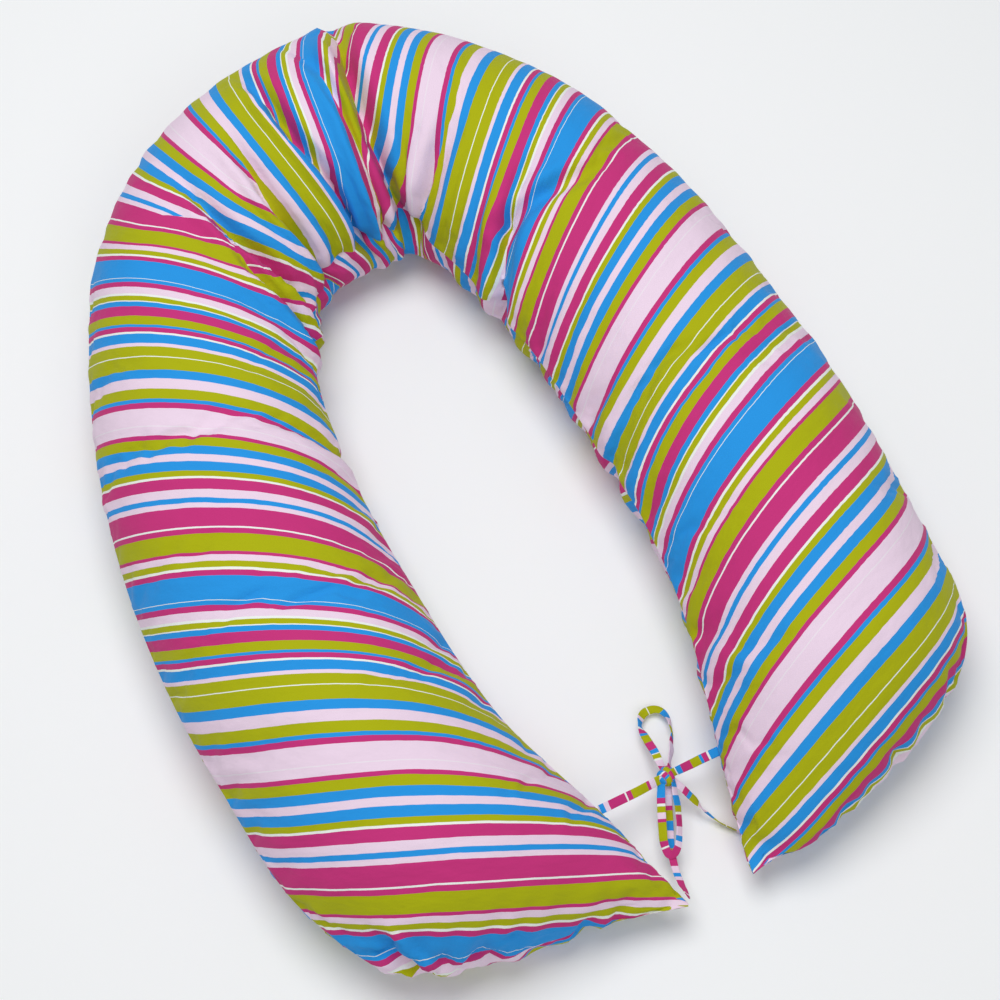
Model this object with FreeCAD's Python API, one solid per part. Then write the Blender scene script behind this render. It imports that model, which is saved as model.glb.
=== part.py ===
"""Nursing pillow: a crescent cushion bent into a horseshoe and tied at its ends.

Millimetres, +Z up, +Y from the open ends towards the crown. The origin is at the
centre of the cushion's footprint, on the surface it lies on.
"""
import FreeCAD
import Part

import math
import os

Vec = FreeCAD.Vector

# ---------------------------------------------------------------- driving dimensions
FULLNESS = 0.70            # stuffed thickness over width, across an arm
MAX_THICKNESS = 180.0
TOP_SHARE = 0.52           # share of the thickness above the perimeter seam
BOTTOM_SHARE = 0.54        # share below it, cut off flat where the cushion rests
RIDGE_INNER = 0.10         # how far the seam stands out as a ridge, 0 round to 1 sharp
RIDGE_OUTER = 0.35
SEAM_LAP = 1.5             # the top panel turns this far under the seam ridge
LAYER_FADE = 60.0          # layers thin out where the cushion is narrower than this

# layer: inset at the sides, inset above and below
COVER_OUTSIDE = (0.0, 0.0)
COVER_INSIDE = (1.0, 1.0)
CASING_OUTSIDE = (5.9, 1.9)
CASING_INSIDE = (6.7, 2.7)
FILL_OUTSIDE = (7.4, 3.4)

# The zip lies under an exactly circular stretch of the outer seam of the left arm.
ZIP_CENTRE = Vec(555, 200, 0)
ZIP_RADIUS = 1000.0
ZIP_SEAM_HEIGHT = 85.0
ZIP_SLOPE = 67.0           # lean of the cover just under the seam, degrees from level
ZIP_START = 182.9          # angles about ZIP_CENTRE, degrees
ZIP_END = 209.7
SLIDER_ANGLE = 184.0       # the slider, zip closed
SLOT_FROM, SLOT_TO = 8.0, 20.0          # slot in the bottom panel, down from the seam
TAPE_FROM, TAPE_TO = 6.0, 22.0          # both tapes together, down from the seam
ZIP_MIDDLE = 14.0
TAPE_GAP = 1.6
TAPE_OUT, TAPE_IN = -1.9, -2.6          # faces of the tapes, out from the cover
COIL_RADIUS = 0.9
COIL_OFFSET = 1.4          # each coil from the middle of the zip

ARM_GAP = 0.3              # each side of the cut where an arm bends from the crown
TIE_DIAMETER = 4.0
KNOT_RADII = (9.0, 10.0, 8.0)
KNOT_CENTRE = Vec(146, -325, 36)
TIE_CLEARANCE = 0.6        # the left tie's end from the knot it can pull out of


def zip_arc_point(angle):
    """The outer seam at an angle about the zip's centre."""
    turn = math.radians(angle)
    return (ZIP_CENTRE.x + ZIP_RADIUS * math.cos(turn), ZIP_CENTRE.y + ZIP_RADIUS * math.sin(turn))


# Ribs across the cushion, from the left tip round the crown to the right tip:
# inner seam, outer seam, height of the seam.
RIBS = [
    ((159, -449), (157, -455), 42),
    ((146, -436), (130, -461), 45),
    ((125, -415), (85, -472), 49),
    ((100, -386), (35, -488), 53),
    ((68, -355), (-35, -512), 59),
    ((30, -321), (-115, -520), 65),
    ((-12, -281), (-205, -458), 74),
    ((-55, -223), zip_arc_point(213.5), 82),
    ((-100, -148), zip_arc_point(208), ZIP_SEAM_HEIGHT),
    ((-141, -74), zip_arc_point(201.5), ZIP_SEAM_HEIGHT),
    ((-176, 2), zip_arc_point(195), ZIP_SEAM_HEIGHT),
    ((-203, 84), zip_arc_point(188.5), ZIP_SEAM_HEIGHT),
    ((-211, 160), zip_arc_point(182.5), ZIP_SEAM_HEIGHT),
    ((-206, 202), (-442, 215), 86),
    ((-193, 228), (-424, 293), 86),
    ((-172, 246), (-383, 379), 87),
    ((-148, 259), (-325, 440), 88),
    ((-128, 267), (-257, 492), 88),
    ((-112, 268), (-190, 520), 88),
    ((-96, 257), (-120, 515), 88),
    ((-72, 232), (-45, 494), 88),
    ((-35, 190), (60, 442), 87),
    ((5, 137), (140, 366), 86),
    ((42, 80), (212, 281), 85),
    ((92, -8), (290, 158), 85),
    ((124, -66), (350, 50), 85),
    ((152, -134), (400, -62), 82),
    ((171, -195), (438, -158), 78),
    ((184, -255), (436, -222), 72),
    ((193, -298), (395, -290), 65),
    ((202, -338), (338, -348), 57),
    ((210, -372), (285, -391), 50),
    ((217, -399), (245, -409), 45),
    ((221, -414), (224, -420), 42),
]
LEFT_HINGE = Vec(-443, 215, 0)          # the arms bend at the outer seam
LEFT_CUT_INNER = Vec(-206, 202, 0)
RIGHT_HINGE = Vec(60.4, 443, 0)
RIGHT_CUT_INNER = Vec(-35, 190, 0)
HOLLOW_LINE = [(0, -80), (120, -280), (192, -430), (192, -900)]     # between the arms

# Routes of the two tie bands: root in the seam to the knot, bow loops and free ends.
TIE_ROUTES = {
    "tie_left": [(80, -364, 54), (101, -352, 47.5), (123, -339.5, 42), (144, -326.5, 38)],
    "tie_right": [(198, -305.5, 58.5), (181, -311.5, 51), (164, -318, 43.5), (147, -324.5, 38)],
    "bow_loop_upper": [(144, -322, 36), (139, -304, 31), (130, -284, 21), (122, -265, 13), (127, -250, 8),
                       (142, -245, 7), (153, -256, 9), (155, -276, 17), (152, -300, 28), (148, -322, 36)],
    "bow_loop_lower": [(141, -328, 37), (140, -350, 35), (141, -372, 31), (142, -392, 28.5), (148, -403, 28),
                       (156, -395, 28), (158, -374, 30), (156, -350, 34), (152, -328, 37)],
    "tie_end_left": [(148, -328, 32), (148, -346, 24.5), (149, -368, 20), (149, -392, 20.5),
                     (152, -416, 29), (157, -434, 42), (161, -447, 51.5)],
    "tie_end_right": [(150, -327, 35), (167, -338, 26), (181, -350, 14), (196, -361, 6), (213, -369, 4),
                      (228, -376, 5)],
}


# ---------------------------------------------------------------- cushion layers
def rib_frame(rib):
    """Middle of a rib, unit vector from inner to outer seam, half width."""
    inner = Vec(rib[0][0], rib[0][1], 0)
    outer = Vec(rib[1][0], rib[1][1], 0)
    across = outer - inner
    half_width = across.Length / 2
    return (inner + outer) * 0.5, across.normalize(), half_width


def rib_edge(rib, layer, side):
    """One edge of a rib's outline: over the top (side 1) or under the bottom (side -1)."""
    middle, across, half_width = rib_frame(rib)
    thickness = min(MAX_THICKNESS, FULLNESS * 2 * half_width)
    share = TOP_SHARE if side > 0 else BOTTOM_SHARE
    fade = min(1.0, 2 * half_width / LAYER_FADE)
    reach = half_width - layer[0] * fade
    rise = share * thickness - layer[1] * fade
    steps = 10
    points = []
    for i in range(steps + 1):
        turn = math.pi * i / steps
        ridge = RIDGE_INNER + (RIDGE_OUTER - RIDGE_INNER) * i / steps
        offset = -reach * ((1 - ridge) * math.cos(turn) + ridge * (1 - 2 * turn / math.pi))
        height = rib[2] + side * rise * math.sin(turn)
        points.append(middle + across * offset + Vec(0, 0, height))
    curve = Part.BSplineCurve()
    curve.interpolate(Points=points, Parameters=[i / steps for i in range(steps + 1)])
    return curve.toShape()


def tip_block(rib, beyond, depth):
    """Block past a tip of the cushion, its near face `depth` inside the end rib."""
    middle, across, half_width = rib_frame(rib)
    towards = Vec(-across.y, across.x, 0)
    if towards.dot(beyond) < 0:
        towards = towards * -1
    size = 60.0
    block = Part.makeBox(size, 2 * size, 2 * size, Vec(-depth, -size, -size))
    block.rotate(Vec(0, 0, 0), Vec(0, 0, 1), math.degrees(math.atan2(towards.y, towards.x)))
    block.translate(middle + Vec(0, 0, rib[2]))
    return block


def layer_solid(layer, tip_depth):
    """The whole cushion at one layer, flat where it rests."""
    sections = [Part.Wire([rib_edge(rib, layer, 1), rib_edge(rib, layer, -1)]) for rib in RIBS]
    solid = Part.makeLoft(sections, True, True)
    over_base = Part.makeBox(1400, 1400, 400, Vec(-700, -700, layer[1]))
    solid = solid.common(over_base)
    if tip_depth:
        solid = solid.cut(tip_block(RIBS[0], Vec(1, -1, 0), tip_depth))
        solid = solid.cut(tip_block(RIBS[-1], Vec(0, -1, 0), tip_depth))
    return solid


def below_seam_block():
    """Everything under the line where the top and bottom panels are sewn together."""
    margin = 20.0
    sections = []
    for rib in RIBS:
        middle, across, half_width = rib_frame(rib)
        start = middle - across * (half_width + margin)
        end = middle + across * (half_width + margin)
        top = Vec(0, 0, rib[2] - SEAM_LAP * min(1.0, 2 * half_width / LAYER_FADE))
        bottom = Vec(0, 0, -40)
        sections.append(Part.makePolygon([start + bottom, end + bottom, end + top, start + top, start + bottom]))
    return Part.makeLoft(sections, True, True)


def prism(points):
    """Tall prism over a closed outline in plan."""
    corners = [Vec(x, y, -100) for x, y in points]
    return Part.Face(Part.makePolygon(corners + [corners[0]])).extrude(Vec(0, 0, 500))


def arm_regions(gap):
    """Plan regions of the left and right arms, their cut moved `gap` towards the arm."""
    reach = 200.0
    regions = []
    for hinge, inner, side in ((LEFT_HINGE, LEFT_CUT_INNER, -1), (RIGHT_HINGE, RIGHT_CUT_INNER, 1)):
        inwards = (inner - hinge).normalize()
        towards_arm = Vec(-inwards.y, inwards.x, 0) * side
        outside = hinge - inwards * reach + towards_arm * gap
        inside = inner + inwards * 60 + towards_arm * gap
        far = 900 * side
        far_corners = [(far, -900), (far, outside.y)]
        regions.append(prism([(outside.x, outside.y), (inside.x, inside.y)] + HOLLOW_LINE + far_corners))
    return regions


# ---------------------------------------------------------------- zip
def zip_point(down, out):
    """Radius and height at a distance down from the seam and out from the cover."""
    slope = math.radians(ZIP_SLOPE)
    radius = ZIP_RADIUS - down * math.cos(slope) + out * math.sin(slope)
    height = ZIP_SEAM_HEIGHT - down * math.sin(slope) - out * math.cos(slope)
    return radius, height


def zip_sweep(profile, start, end):
    """Turn a closed profile of (down, out) points about the zip's centre."""
    corners = [Vec(radius, 0, height) for radius, height in (zip_point(*p) for p in profile)]
    solid = Part.Face(Part.makePolygon(corners + [corners[0]])).revolve(Vec(0, 0, 0), Vec(0, 0, 1), end - start)
    solid.rotate(Vec(0, 0, 0), Vec(0, 0, 1), start)
    solid.translate(ZIP_CENTRE)
    return solid


def zip_strip(down_from, down_to, out_from, out_to, start=ZIP_START, end=ZIP_END):
    corners = [(down_from, out_from), (down_to, out_from), (down_to, out_to), (down_from, out_to)]
    return zip_sweep(corners, start, end)


def zip_coil(down):
    """One coil of the zip, a rod with the coil's outer size."""
    radius, height = zip_point(down, TAPE_OUT + COIL_RADIUS)
    circle = Part.Circle(Vec(radius, 0, height), Vec(0, 1, 0), COIL_RADIUS)
    disc = Part.Face(Part.Wire(circle.toShape()))
    rod = disc.revolve(Vec(0, 0, 0), Vec(0, 0, 1), ZIP_END - ZIP_START)
    rod.rotate(Vec(0, 0, 0), Vec(0, 0, 1), ZIP_START)
    rod.translate(ZIP_CENTRE)
    return rod


def to_slider(shape):
    """Place a shape made at the slider: X along the zip, Y down from the seam, Z out."""
    turn = math.radians(SLIDER_ANGLE)
    slope = math.radians(ZIP_SLOPE)
    radial = Vec(math.cos(turn), math.sin(turn), 0)
    along = Vec(-math.sin(turn), math.cos(turn), 0)
    down = radial * -math.cos(slope) + Vec(0, 0, -math.sin(slope))
    out = radial * math.sin(slope) + Vec(0, 0, -math.cos(slope))
    radius, height = zip_point(ZIP_MIDDLE, 0)
    base = ZIP_CENTRE + radial * radius + Vec(0, 0, height)
    matrix = FreeCAD.Matrix(along.x, down.x, out.x, base.x,
                            along.y, down.y, out.y, base.y,
                            along.z, down.z, out.z, base.z,
                            0, 0, 0, 1)
    placed = shape.copy()
    placed.transformShape(matrix, True)
    return placed


def rounded_plate(length, width, thickness, base, radius):
    """Plate centred in plan with rounded corners, its lower face at height base."""
    plate = Part.makeBox(length, width, thickness, Vec(-length / 2, -width / 2, base))
    upright = [edge for edge in plate.Edges if abs(edge.tangentAt(edge.FirstParameter).z) > 0.9]
    return plate.makeFillet(radius, upright)


def make_slider():
    """Slider with a plate outside and inside the coils, a neck between them and a bail."""
    top = rounded_plate(10, 8, 1.0, 0.2, 2.5)
    for side in (-1, 1):
        top = top.fuse(Part.makeBox(7, 0.8, 1.9, Vec(-3.5, side * 4.4 - 0.4, -1.3)))
        top = top.fuse(Part.makeBox(7, 0.9, 0.6, Vec(-3.5, side * 4.35 - 0.45, 0.4)))
    inside = rounded_plate(9, 7, 0.9, -4.2, 2.5)
    neck = Part.makeBox(3.0, 0.5, 4.0, Vec(-4.2, -0.25, -3.6))
    bail = Part.makeBox(7.0, 1.4, 2.7, Vec(-3.5, -0.7, 1.1))
    bail = bail.cut(Part.makeBox(5.0, 3.0, 1.7, Vec(-2.5, -1.5, 1.2)))
    return to_slider(top.fuse([inside, neck, bail]).removeSplitter())


def make_pull():
    """Pull tab lying along the zip, its cross bar under the slider's bail."""
    length, width, thickness = 20.0, 6.0, 0.9
    bar_at = 1.55
    tab = rounded_plate(length, width, thickness, bar_at, 1.8)
    tab.translate(Vec(length / 2 - 0.7, 0, 0))
    window = Part.makeBox(4.4, 3.2, 2 * thickness, Vec(0.4, -1.6, bar_at - 0.5 * thickness))
    grip = Part.makeBox(6.0, 2.6, 2 * thickness, Vec(10.0, -1.3, bar_at - 0.5 * thickness))
    return to_slider(tab.cut(window).cut(grip))


# ---------------------------------------------------------------- ties
def arc_route(points):
    """Straight runs joined by tangent arcs; also the smallest radius."""
    corners = [Vec(*point) for point in points]
    edges = []
    start = corners[0]
    smallest = None
    for before, corner, after in zip(corners, corners[1:], corners[2:]):
        back = (before - corner).normalize()
        ahead = (after - corner).normalize()
        shorter = min((before - corner).Length, (after - corner).Length)
        trim = 0.45 * shorter
        turn = math.pi - back.getAngle(ahead)
        radius = trim / math.tan(turn / 2)
        smallest = radius if smallest is None else min(smallest, radius)
        middle = corner + (back + ahead).normalize() * (math.hypot(trim, radius) - radius)
        enter = corner + back * trim
        leave = corner + ahead * trim
        edges.append(Part.LineSegment(start, enter).toShape())
        edges.append(Part.Arc(enter, middle, leave).toShape())
        start = leave
    edges.append(Part.LineSegment(start, corners[-1]).toShape())
    return Part.Wire(edges), smallest


def make_tie(name):
    """Plain tube along a tie's route."""
    points = TIE_ROUTES[name]
    route, smallest = arc_route(points)
    start = Vec(*points[0])
    direction = Vec(*points[1]) - start
    circle = Part.Circle(start, direction, TIE_DIAMETER / 2).toShape()
    tube = route.makePipeShell([Part.Wire(circle)], True, True)
    expected = math.pi * TIE_DIAMETER ** 2 / 4 * route.Length
    print(f"{name}: length {route.Length:.0f}, smallest radius {smallest:.1f}, "
          f"volume over section times length {tube.Volume / expected:.3f}")
    return tube


def make_knot(grow):
    """The knot as an ellipsoid, larger all round by `grow`."""
    knot = Part.makeSphere(1.0)
    matrix = FreeCAD.Matrix()
    matrix.scale(*(radius + grow for radius in KNOT_RADII))
    knot = knot.transformGeometry(matrix)
    knot.translate(KNOT_CENTRE)
    return knot


# ---------------------------------------------------------------- assembly
def main_solid(shape):
    """The largest solid of a result, without crumbs that a cut can leave."""
    return max(shape.Solids, key=lambda solid: solid.Volume)


def make_nodes():
    nodes = {}
    cover = layer_solid(COVER_OUTSIDE, 0).cut(layer_solid(COVER_INSIDE, 1.0))
    casing = layer_solid(CASING_OUTSIDE, 2.0).cut(layer_solid(CASING_INSIDE, 3.0))
    fill = layer_solid(FILL_OUTSIDE, 4.0)
    under = below_seam_block()
    layers = {
        "cover_top": cover.cut(under),
        "cover_bottom": cover.common(under),
        "casing_top": casing.cut(under),
        "casing_bottom": casing.common(under),
        "fill": fill,
    }
    left_arm, right_arm = arm_regions(ARM_GAP)
    left_rest, right_rest = arm_regions(-ARM_GAP)
    for name, shape in layers.items():
        nodes[name + "_crown"] = main_solid(shape.cut(left_rest).cut(right_rest))
        nodes[name + "_left"] = main_solid(shape.common(left_arm))
        nodes[name + "_right"] = main_solid(shape.common(right_arm))

    slot = zip_strip(SLOT_FROM, SLOT_TO, -3.0, 5.0)
    nodes["cover_bottom_left"] = main_solid(nodes["cover_bottom_left"].cut(slot))
    nodes["zip_tape_upper"] = zip_strip(TAPE_FROM, ZIP_MIDDLE - TAPE_GAP / 2, TAPE_IN, TAPE_OUT)
    nodes["zip_tape_lower"] = zip_strip(ZIP_MIDDLE + TAPE_GAP / 2, TAPE_TO, TAPE_IN, TAPE_OUT)
    nodes["zip_coil_upper"] = zip_coil(ZIP_MIDDLE - COIL_OFFSET)
    nodes["zip_coil_lower"] = zip_coil(ZIP_MIDDLE + COIL_OFFSET)
    for name, start in (("zip_top_stop", ZIP_START + 0.2), ("zip_bottom_stop", ZIP_END - 0.4)):
        nodes[name] = zip_strip(ZIP_MIDDLE - 3, ZIP_MIDDLE + 3, -0.1, 0.8, start, start + 0.2)
    nodes["zip_slider"] = make_slider()
    nodes["zip_pull"] = make_pull()

    knot = make_knot(0)
    nodes["bow_knot"] = knot
    for name in TIE_ROUTES:
        clearance = make_knot(TIE_CLEARANCE) if name == "tie_left" else knot
        nodes[name] = main_solid(make_tie(name).cut(clearance))
    for tie, side in (("tie_left", "left"), ("tie_right", "right")):
        for panel in ("cover_top_", "cover_bottom_"):
            nodes[panel + side] = main_solid(nodes[panel + side].cut(nodes[tie]))
    return nodes


os.makedirs("parts", exist_ok=True)
for node, solid in make_nodes().items():
    solid.exportStep(f"parts/{node}.step")
    box = solid.BoundBox
    print(f"{node}: {'valid' if solid.isValid() else 'INVALID'}, {solid.Volume / 1000:.1f} cm3, "
          f"x {box.XMin:.0f}..{box.XMax:.0f} y {box.YMin:.0f}..{box.YMax:.0f} z {box.ZMin:.1f}..{box.ZMax:.1f}")
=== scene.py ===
"""Nursing pillow: the striped cotton cover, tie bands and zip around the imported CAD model."""

import math

import bmesh
import bpy
import numpy as np
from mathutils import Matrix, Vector


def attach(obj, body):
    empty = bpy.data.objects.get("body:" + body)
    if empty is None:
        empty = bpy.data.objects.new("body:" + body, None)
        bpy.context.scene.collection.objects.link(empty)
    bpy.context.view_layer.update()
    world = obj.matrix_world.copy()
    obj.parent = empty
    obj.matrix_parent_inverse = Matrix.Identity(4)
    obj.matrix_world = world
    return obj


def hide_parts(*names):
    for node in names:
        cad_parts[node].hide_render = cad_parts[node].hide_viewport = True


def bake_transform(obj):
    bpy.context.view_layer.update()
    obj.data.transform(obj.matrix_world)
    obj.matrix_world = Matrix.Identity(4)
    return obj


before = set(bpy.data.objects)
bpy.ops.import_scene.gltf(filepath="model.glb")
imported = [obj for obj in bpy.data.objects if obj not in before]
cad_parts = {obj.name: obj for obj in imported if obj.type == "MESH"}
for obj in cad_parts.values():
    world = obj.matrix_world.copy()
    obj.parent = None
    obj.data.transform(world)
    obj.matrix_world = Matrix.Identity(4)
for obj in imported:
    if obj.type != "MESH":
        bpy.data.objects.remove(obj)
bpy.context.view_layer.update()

MM = 0.001

# ---------------------------------------------------------------- pillow outline
# Ribs across the cushion, from the left tip round the crown to the right tip, in mm:
# inner seam, outer seam, height of the seam, and how far the cloth is turned there from
# the way it was cut, in degrees.
ZIP_CENTRE = (555.0, 200.0)
ZIP_RADIUS = 1000.0
ZIP_SPAN = (182.9, 209.7)               # degrees about ZIP_CENTRE
ZIP_RIBS_END = 14                        # the zip lies on the ribs before this one


def zip_arc_point(angle):
    turn = math.radians(angle)
    return (ZIP_CENTRE[0] + ZIP_RADIUS * math.cos(turn), ZIP_CENTRE[1] + ZIP_RADIUS * math.sin(turn))


RIBS = [
    ((162, -451), (162, -454), 42, 4),
    ((146, -436), (130, -461), 45, 4),
    ((125, -415), (85, -472), 49, 4),
    ((100, -386), (35, -488), 53, 3),
    ((68, -355), (-35, -512), 59, 3),
    ((30, -321), (-115, -520), 65, 2),
    ((-12, -281), (-205, -458), 74, -1),
    ((-55, -223), zip_arc_point(213.5), 82, -5),
    ((-100, -148), zip_arc_point(208), 85, -6),
    ((-141, -74), zip_arc_point(201.5), 85, -6),
    ((-176, 2), zip_arc_point(195), 85, -8),
    ((-203, 84), zip_arc_point(188.5), 85, -12),
    ((-211, 160), zip_arc_point(182.5), 85, -20),
    ((-206, 202), (-442, 215), 86, -30),
    ((-193, 228), (-424, 293), 86, -41),
    ((-172, 246), (-383, 379), 87, -54),
    ((-148, 259), (-325, 440), 88, -67),
    ((-128, 267), (-257, 492), 88, -82),
    ((-112, 268), (-190, 520), 88, -94),
    ((-96, 257), (-120, 515), 88, -100),
    ((-72, 232), (-45, 494), 88, -104),
    ((-35, 190), (60, 442), 87, -107),
    ((5, 137), (140, 366), 86, -112),
    ((42, 80), (212, 281), 85, -119),
    ((92, -8), (290, 158), 85, -127),
    ((124, -66), (350, 50), 85, -130),
    ((152, -134), (400, -62), 82, -133),
    ((171, -195), (438, -158), 78, -134),
    ((184, -255), (436, -222), 72, -134),
    ((193, -298), (395, -290), 65, -133),
    ((202, -338), (338, -348), 57, -131),
    ((210, -372), (285, -391), 50, -130),
    ((217, -399), (245, -409), 45, -130),
    ((223, -419), (225, -423), 42, -130),
]
FULLNESS = 0.70
MAX_THICKNESS = 180.0
TOP_SHARE = 0.52
BOTTOM_SHARE = 0.54
RIDGE_INNER = 0.10
RIDGE_OUTER_TOP = 0.62                   # the top panel slopes away from the outer seam
RIDGE_OUTER_BOTTOM = 0.35

# How far the cloth has crept lengthwise, in mm: rib number, at the inner and the outer seam.
CLOTH_CREEP = [
    (0, -24, -27), (3, -27, -31), (5, -33, -31), (6, -37, -21), (7, -34, -7), (8, -23, -2), (10, -4, 5),
    (11, -4, 9), (12, -8, 3), (14, 8, -6), (16, -10, -25), (17, -14, -42), (18, 0, -38), (20, 4, -10),
    (21, 8, -4), (22, 25, 1), (23, 18, 2), (24, 2, 0), (26, -11, -2), (28, -12, -9), (33, -18, -16),
]

# How far the bottom panel swells out under the inner and the outer seam, in mm at ribs.
SWELL_INNER = [
    (9, 0), (11, 6), (12, 14), (13, 25), (14, 34), (16, 36), (18, 27), (20, 12), (23, 5), (27, 2), (31, 0),
]
SWELL_OUTER = [(1, 0), (2, 5), (3, 14), (4, 9), (5, 0)]
SWELL_SHARE = 0.34                       # share of the bottom panel that each takes up

COLUMNS = 288                            # along the cushion
CURVE_POINTS = 4000                      # points on the smooth curves through the ribs
ROWS = 44                                # across each panel
SEAM_ROWS = (0.0, 0.012, 0.024, 0.041, 0.058, 0.077)     # rows beside a seam, share of the width


def catmull(points, t):
    """Smooth curve through rows of numbers, t counted in rows."""
    points = np.asarray(points, float)
    last = len(points) - 1
    k = np.clip(np.floor(t).astype(int), 0, last - 1)
    f = (t - k)[:, None]
    p0 = points[np.maximum(k - 1, 0)]
    p1 = points[k]
    p2 = points[k + 1]
    p3 = points[np.minimum(k + 2, last)]
    return 0.5 * (2 * p1 + (p2 - p0) * f + (2 * p0 - 5 * p1 + 4 * p2 - p3) * f ** 2
                  + (3 * p1 - p0 - 3 * p2 + p3) * f ** 3)


def rib_columns():
    """Even columns along the cushion: inner xy, outer xy, seam height, cloth turn, rib number."""
    rows = np.array([[*inner, *outer, height, turn] for inner, outer, height, turn in RIBS])
    fine = catmull(rows, np.linspace(0, len(rows) - 1, CURVE_POINTS))
    middle = 0.45 * fine[:, 0:2] + 0.55 * fine[:, 2:4]
    travel = np.concatenate([[0], np.cumsum(np.linalg.norm(np.diff(middle, axis=0), axis=1))])
    even = np.linspace(0, travel[-1], COLUMNS + 1)
    fine = np.column_stack([fine, np.linspace(0, len(rows) - 1, CURVE_POINTS)])
    return np.stack([np.interp(even, travel, fine[:, i]) for i in range(7)], axis=1)


def across_shares():
    """Rows from the inner seam (0) to the outer seam (1), closer together beside the seams."""
    edge = np.array(SEAM_ROWS)
    middle = np.linspace(edge[-1], 1 - edge[-1], ROWS + 1 - 2 * (len(edge) - 1))
    return np.concatenate([edge[:-1], middle, 1 - edge[:-1][::-1]])


def section(half_width, height, side, shares):
    """Offsets across and heights of one panel over a rib, and the cloth's length across."""
    thickness = min(MAX_THICKNESS, FULLNESS * 2 * half_width)
    rise = thickness * (TOP_SHARE if side > 0 else BOTTOM_SHARE)
    turn = np.linspace(0, math.pi, 181)
    ridge_outer = RIDGE_OUTER_TOP if side > 0 else RIDGE_OUTER_BOTTOM
    ridge = RIDGE_INNER + (ridge_outer - RIDGE_INNER) * turn / math.pi
    offset = -half_width * ((1 - ridge) * np.cos(turn) + ridge * (1 - 2 * turn / math.pi))
    z = height + side * rise * np.sin(turn)
    length = np.concatenate([[0], np.cumsum(np.hypot(np.diff(offset), np.diff(z)))])
    z = np.maximum(z, 0.6)
    at = shares * length[-1]
    return np.interp(at, length, offset), np.interp(at, length, z), length[-1]


def turned(vectors, angles):
    """Plan vectors turned by angles in radians."""
    cos, sin = np.cos(angles), np.sin(angles)
    return np.stack([vectors[:, 0] * cos - vectors[:, 1] * sin,
                     vectors[:, 0] * sin + vectors[:, 1] * cos], axis=1)


def build_cover():
    """Cushion surface as two grids (columns, rows, xyz), and the flat cut of its cloth, in mm."""
    columns = rib_columns()
    shares = across_shares()
    inner, outer = columns[:, 0:2], columns[:, 2:4]
    across = outer - inner
    width = np.linalg.norm(across, axis=1)
    across = across / width[:, None]
    top = np.zeros((len(columns), len(shares), 3))
    bottom = np.zeros_like(top)
    cloth = np.zeros(len(columns))
    for i, column in enumerate(columns):
        middle = (inner[i] + outer[i]) / 2
        for panel, side in ((bottom, -1), (top, 1)):
            offset, z, cloth[i] = section(width[i] / 2, column[4], side, shares)
            panel[i, :, 0:2] = middle + offset[:, None] * across[i]
            panel[i, :, 2] = z
    for table, away, way in ((SWELL_INNER, shares, -1), (SWELL_OUTER, 1 - shares, 1)):
        swell = np.interp(columns[:, 6], *zip(*table))
        belly = np.sin(np.clip(away / SWELL_SHARE, 0, 1) * math.pi)
        bottom[:, :, 0:2] += way * across[:, None, :] * (swell[:, None] * belly[None, :])[:, :, None]
    # The outer seam keeps its length, so the flat outer edge repeats its steps turned back.
    turn = np.radians(columns[:, 5])
    step = turned(np.diff(outer, axis=0), -(turn[1:] + turn[:-1]) / 2)
    flat_outer = np.concatenate([[[0, 0]], np.cumsum(step, axis=0)])
    flat_inner = flat_outer - turned(across, -turn) * cloth[:, None]
    flat = flat_inner[:, None, :] + (flat_outer - flat_inner)[:, None, :] * shares[None, :, None]
    ribs, at_inner, at_outer = zip(*CLOTH_CREEP)
    creep_inner = np.interp(columns[:, 6], ribs, at_inner)[:, None]
    creep_outer = np.interp(columns[:, 6], ribs, at_outer)[:, None]
    flat[:, :, 1] += creep_inner + (creep_outer - creep_inner) * shares[None, :]
    return top, bottom, flat, columns


# ---------------------------------------------------------------- folds
# Valleys where the bent cushion tucks its top panel in. Depth and width of the valley and
# height of the swell beside it, in mm, then points along it: rib number and share across
# from the inner seam. The valley is deepest from its middle on.
FOLDS = [
    (34, 9, 10, [(17.8, 1.0), (17.7, 0.75), (17.5, 0.55), (17.4, 0.43), (17.3, 0.28), (17.4, 0.0)]),
    (21, 7, 8, [(16.9, 0.80), (17.0, 0.55), (16.95, 0.40), (16.8, 0.25), (16.5, 0.0)]),
    (24, 8, 9, [(16.1, 0.85), (15.95, 0.60), (15.7, 0.42), (15.6, 0.22), (15.3, 0.0)]),
    (19, 8, 8, [(15.0, 0.60), (14.5, 0.40), (13.9, 0.23), (13.1, 0.0)]),
    (25, 8, 10, [(14.2, 0.66), (13.5, 0.48), (12.9, 0.33), (12.5, 0.22), (12.0, 0.07), (11.8, 0.0)]),
    (12, 8, 6, [(13.3, 0.46), (12.3, 0.30), (11.9, 0.17), (11.4, 0.0)]),
    (13, 12, 6, [(19.9, 0.45), (19.6, 0.32), (19.2, 0.17), (18.4, 0.0)]),
    (15, 12, 7, [(21.1, 0.50), (21.1, 0.25), (21.4, 0.0)]),
    (10, 10, 5, [(22.0, 0.60), (21.5, 0.40), (21.1, 0.22)]),
    (5, 12, 2, [(10.2, 0.30), (10.0, 0.15), (9.8, 0.0)]),
    (5, 12, 2, [(23.8, 0.25), (24.0, 0.12), (24.1, 0.0)]),
    (12, 9, 6, [(5.4, 0.86), (5.0, 0.93), (4.6, 1.0)]),
    (8, 9, 4, [(4.0, 0.86), (3.8, 1.0)]),
    (5, 10, 2, [(2.6, 0.86), (2.4, 1.0)]),
    (4, 6, 2, [(28.2, 0.88), (28.5, 1.0)]),
    (5, 6, 2, [(29.3, 0.85), (29.5, 1.0)]),
    (4, 6, 2, [(30.3, 0.88), (30.4, 1.0)]),
]
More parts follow.
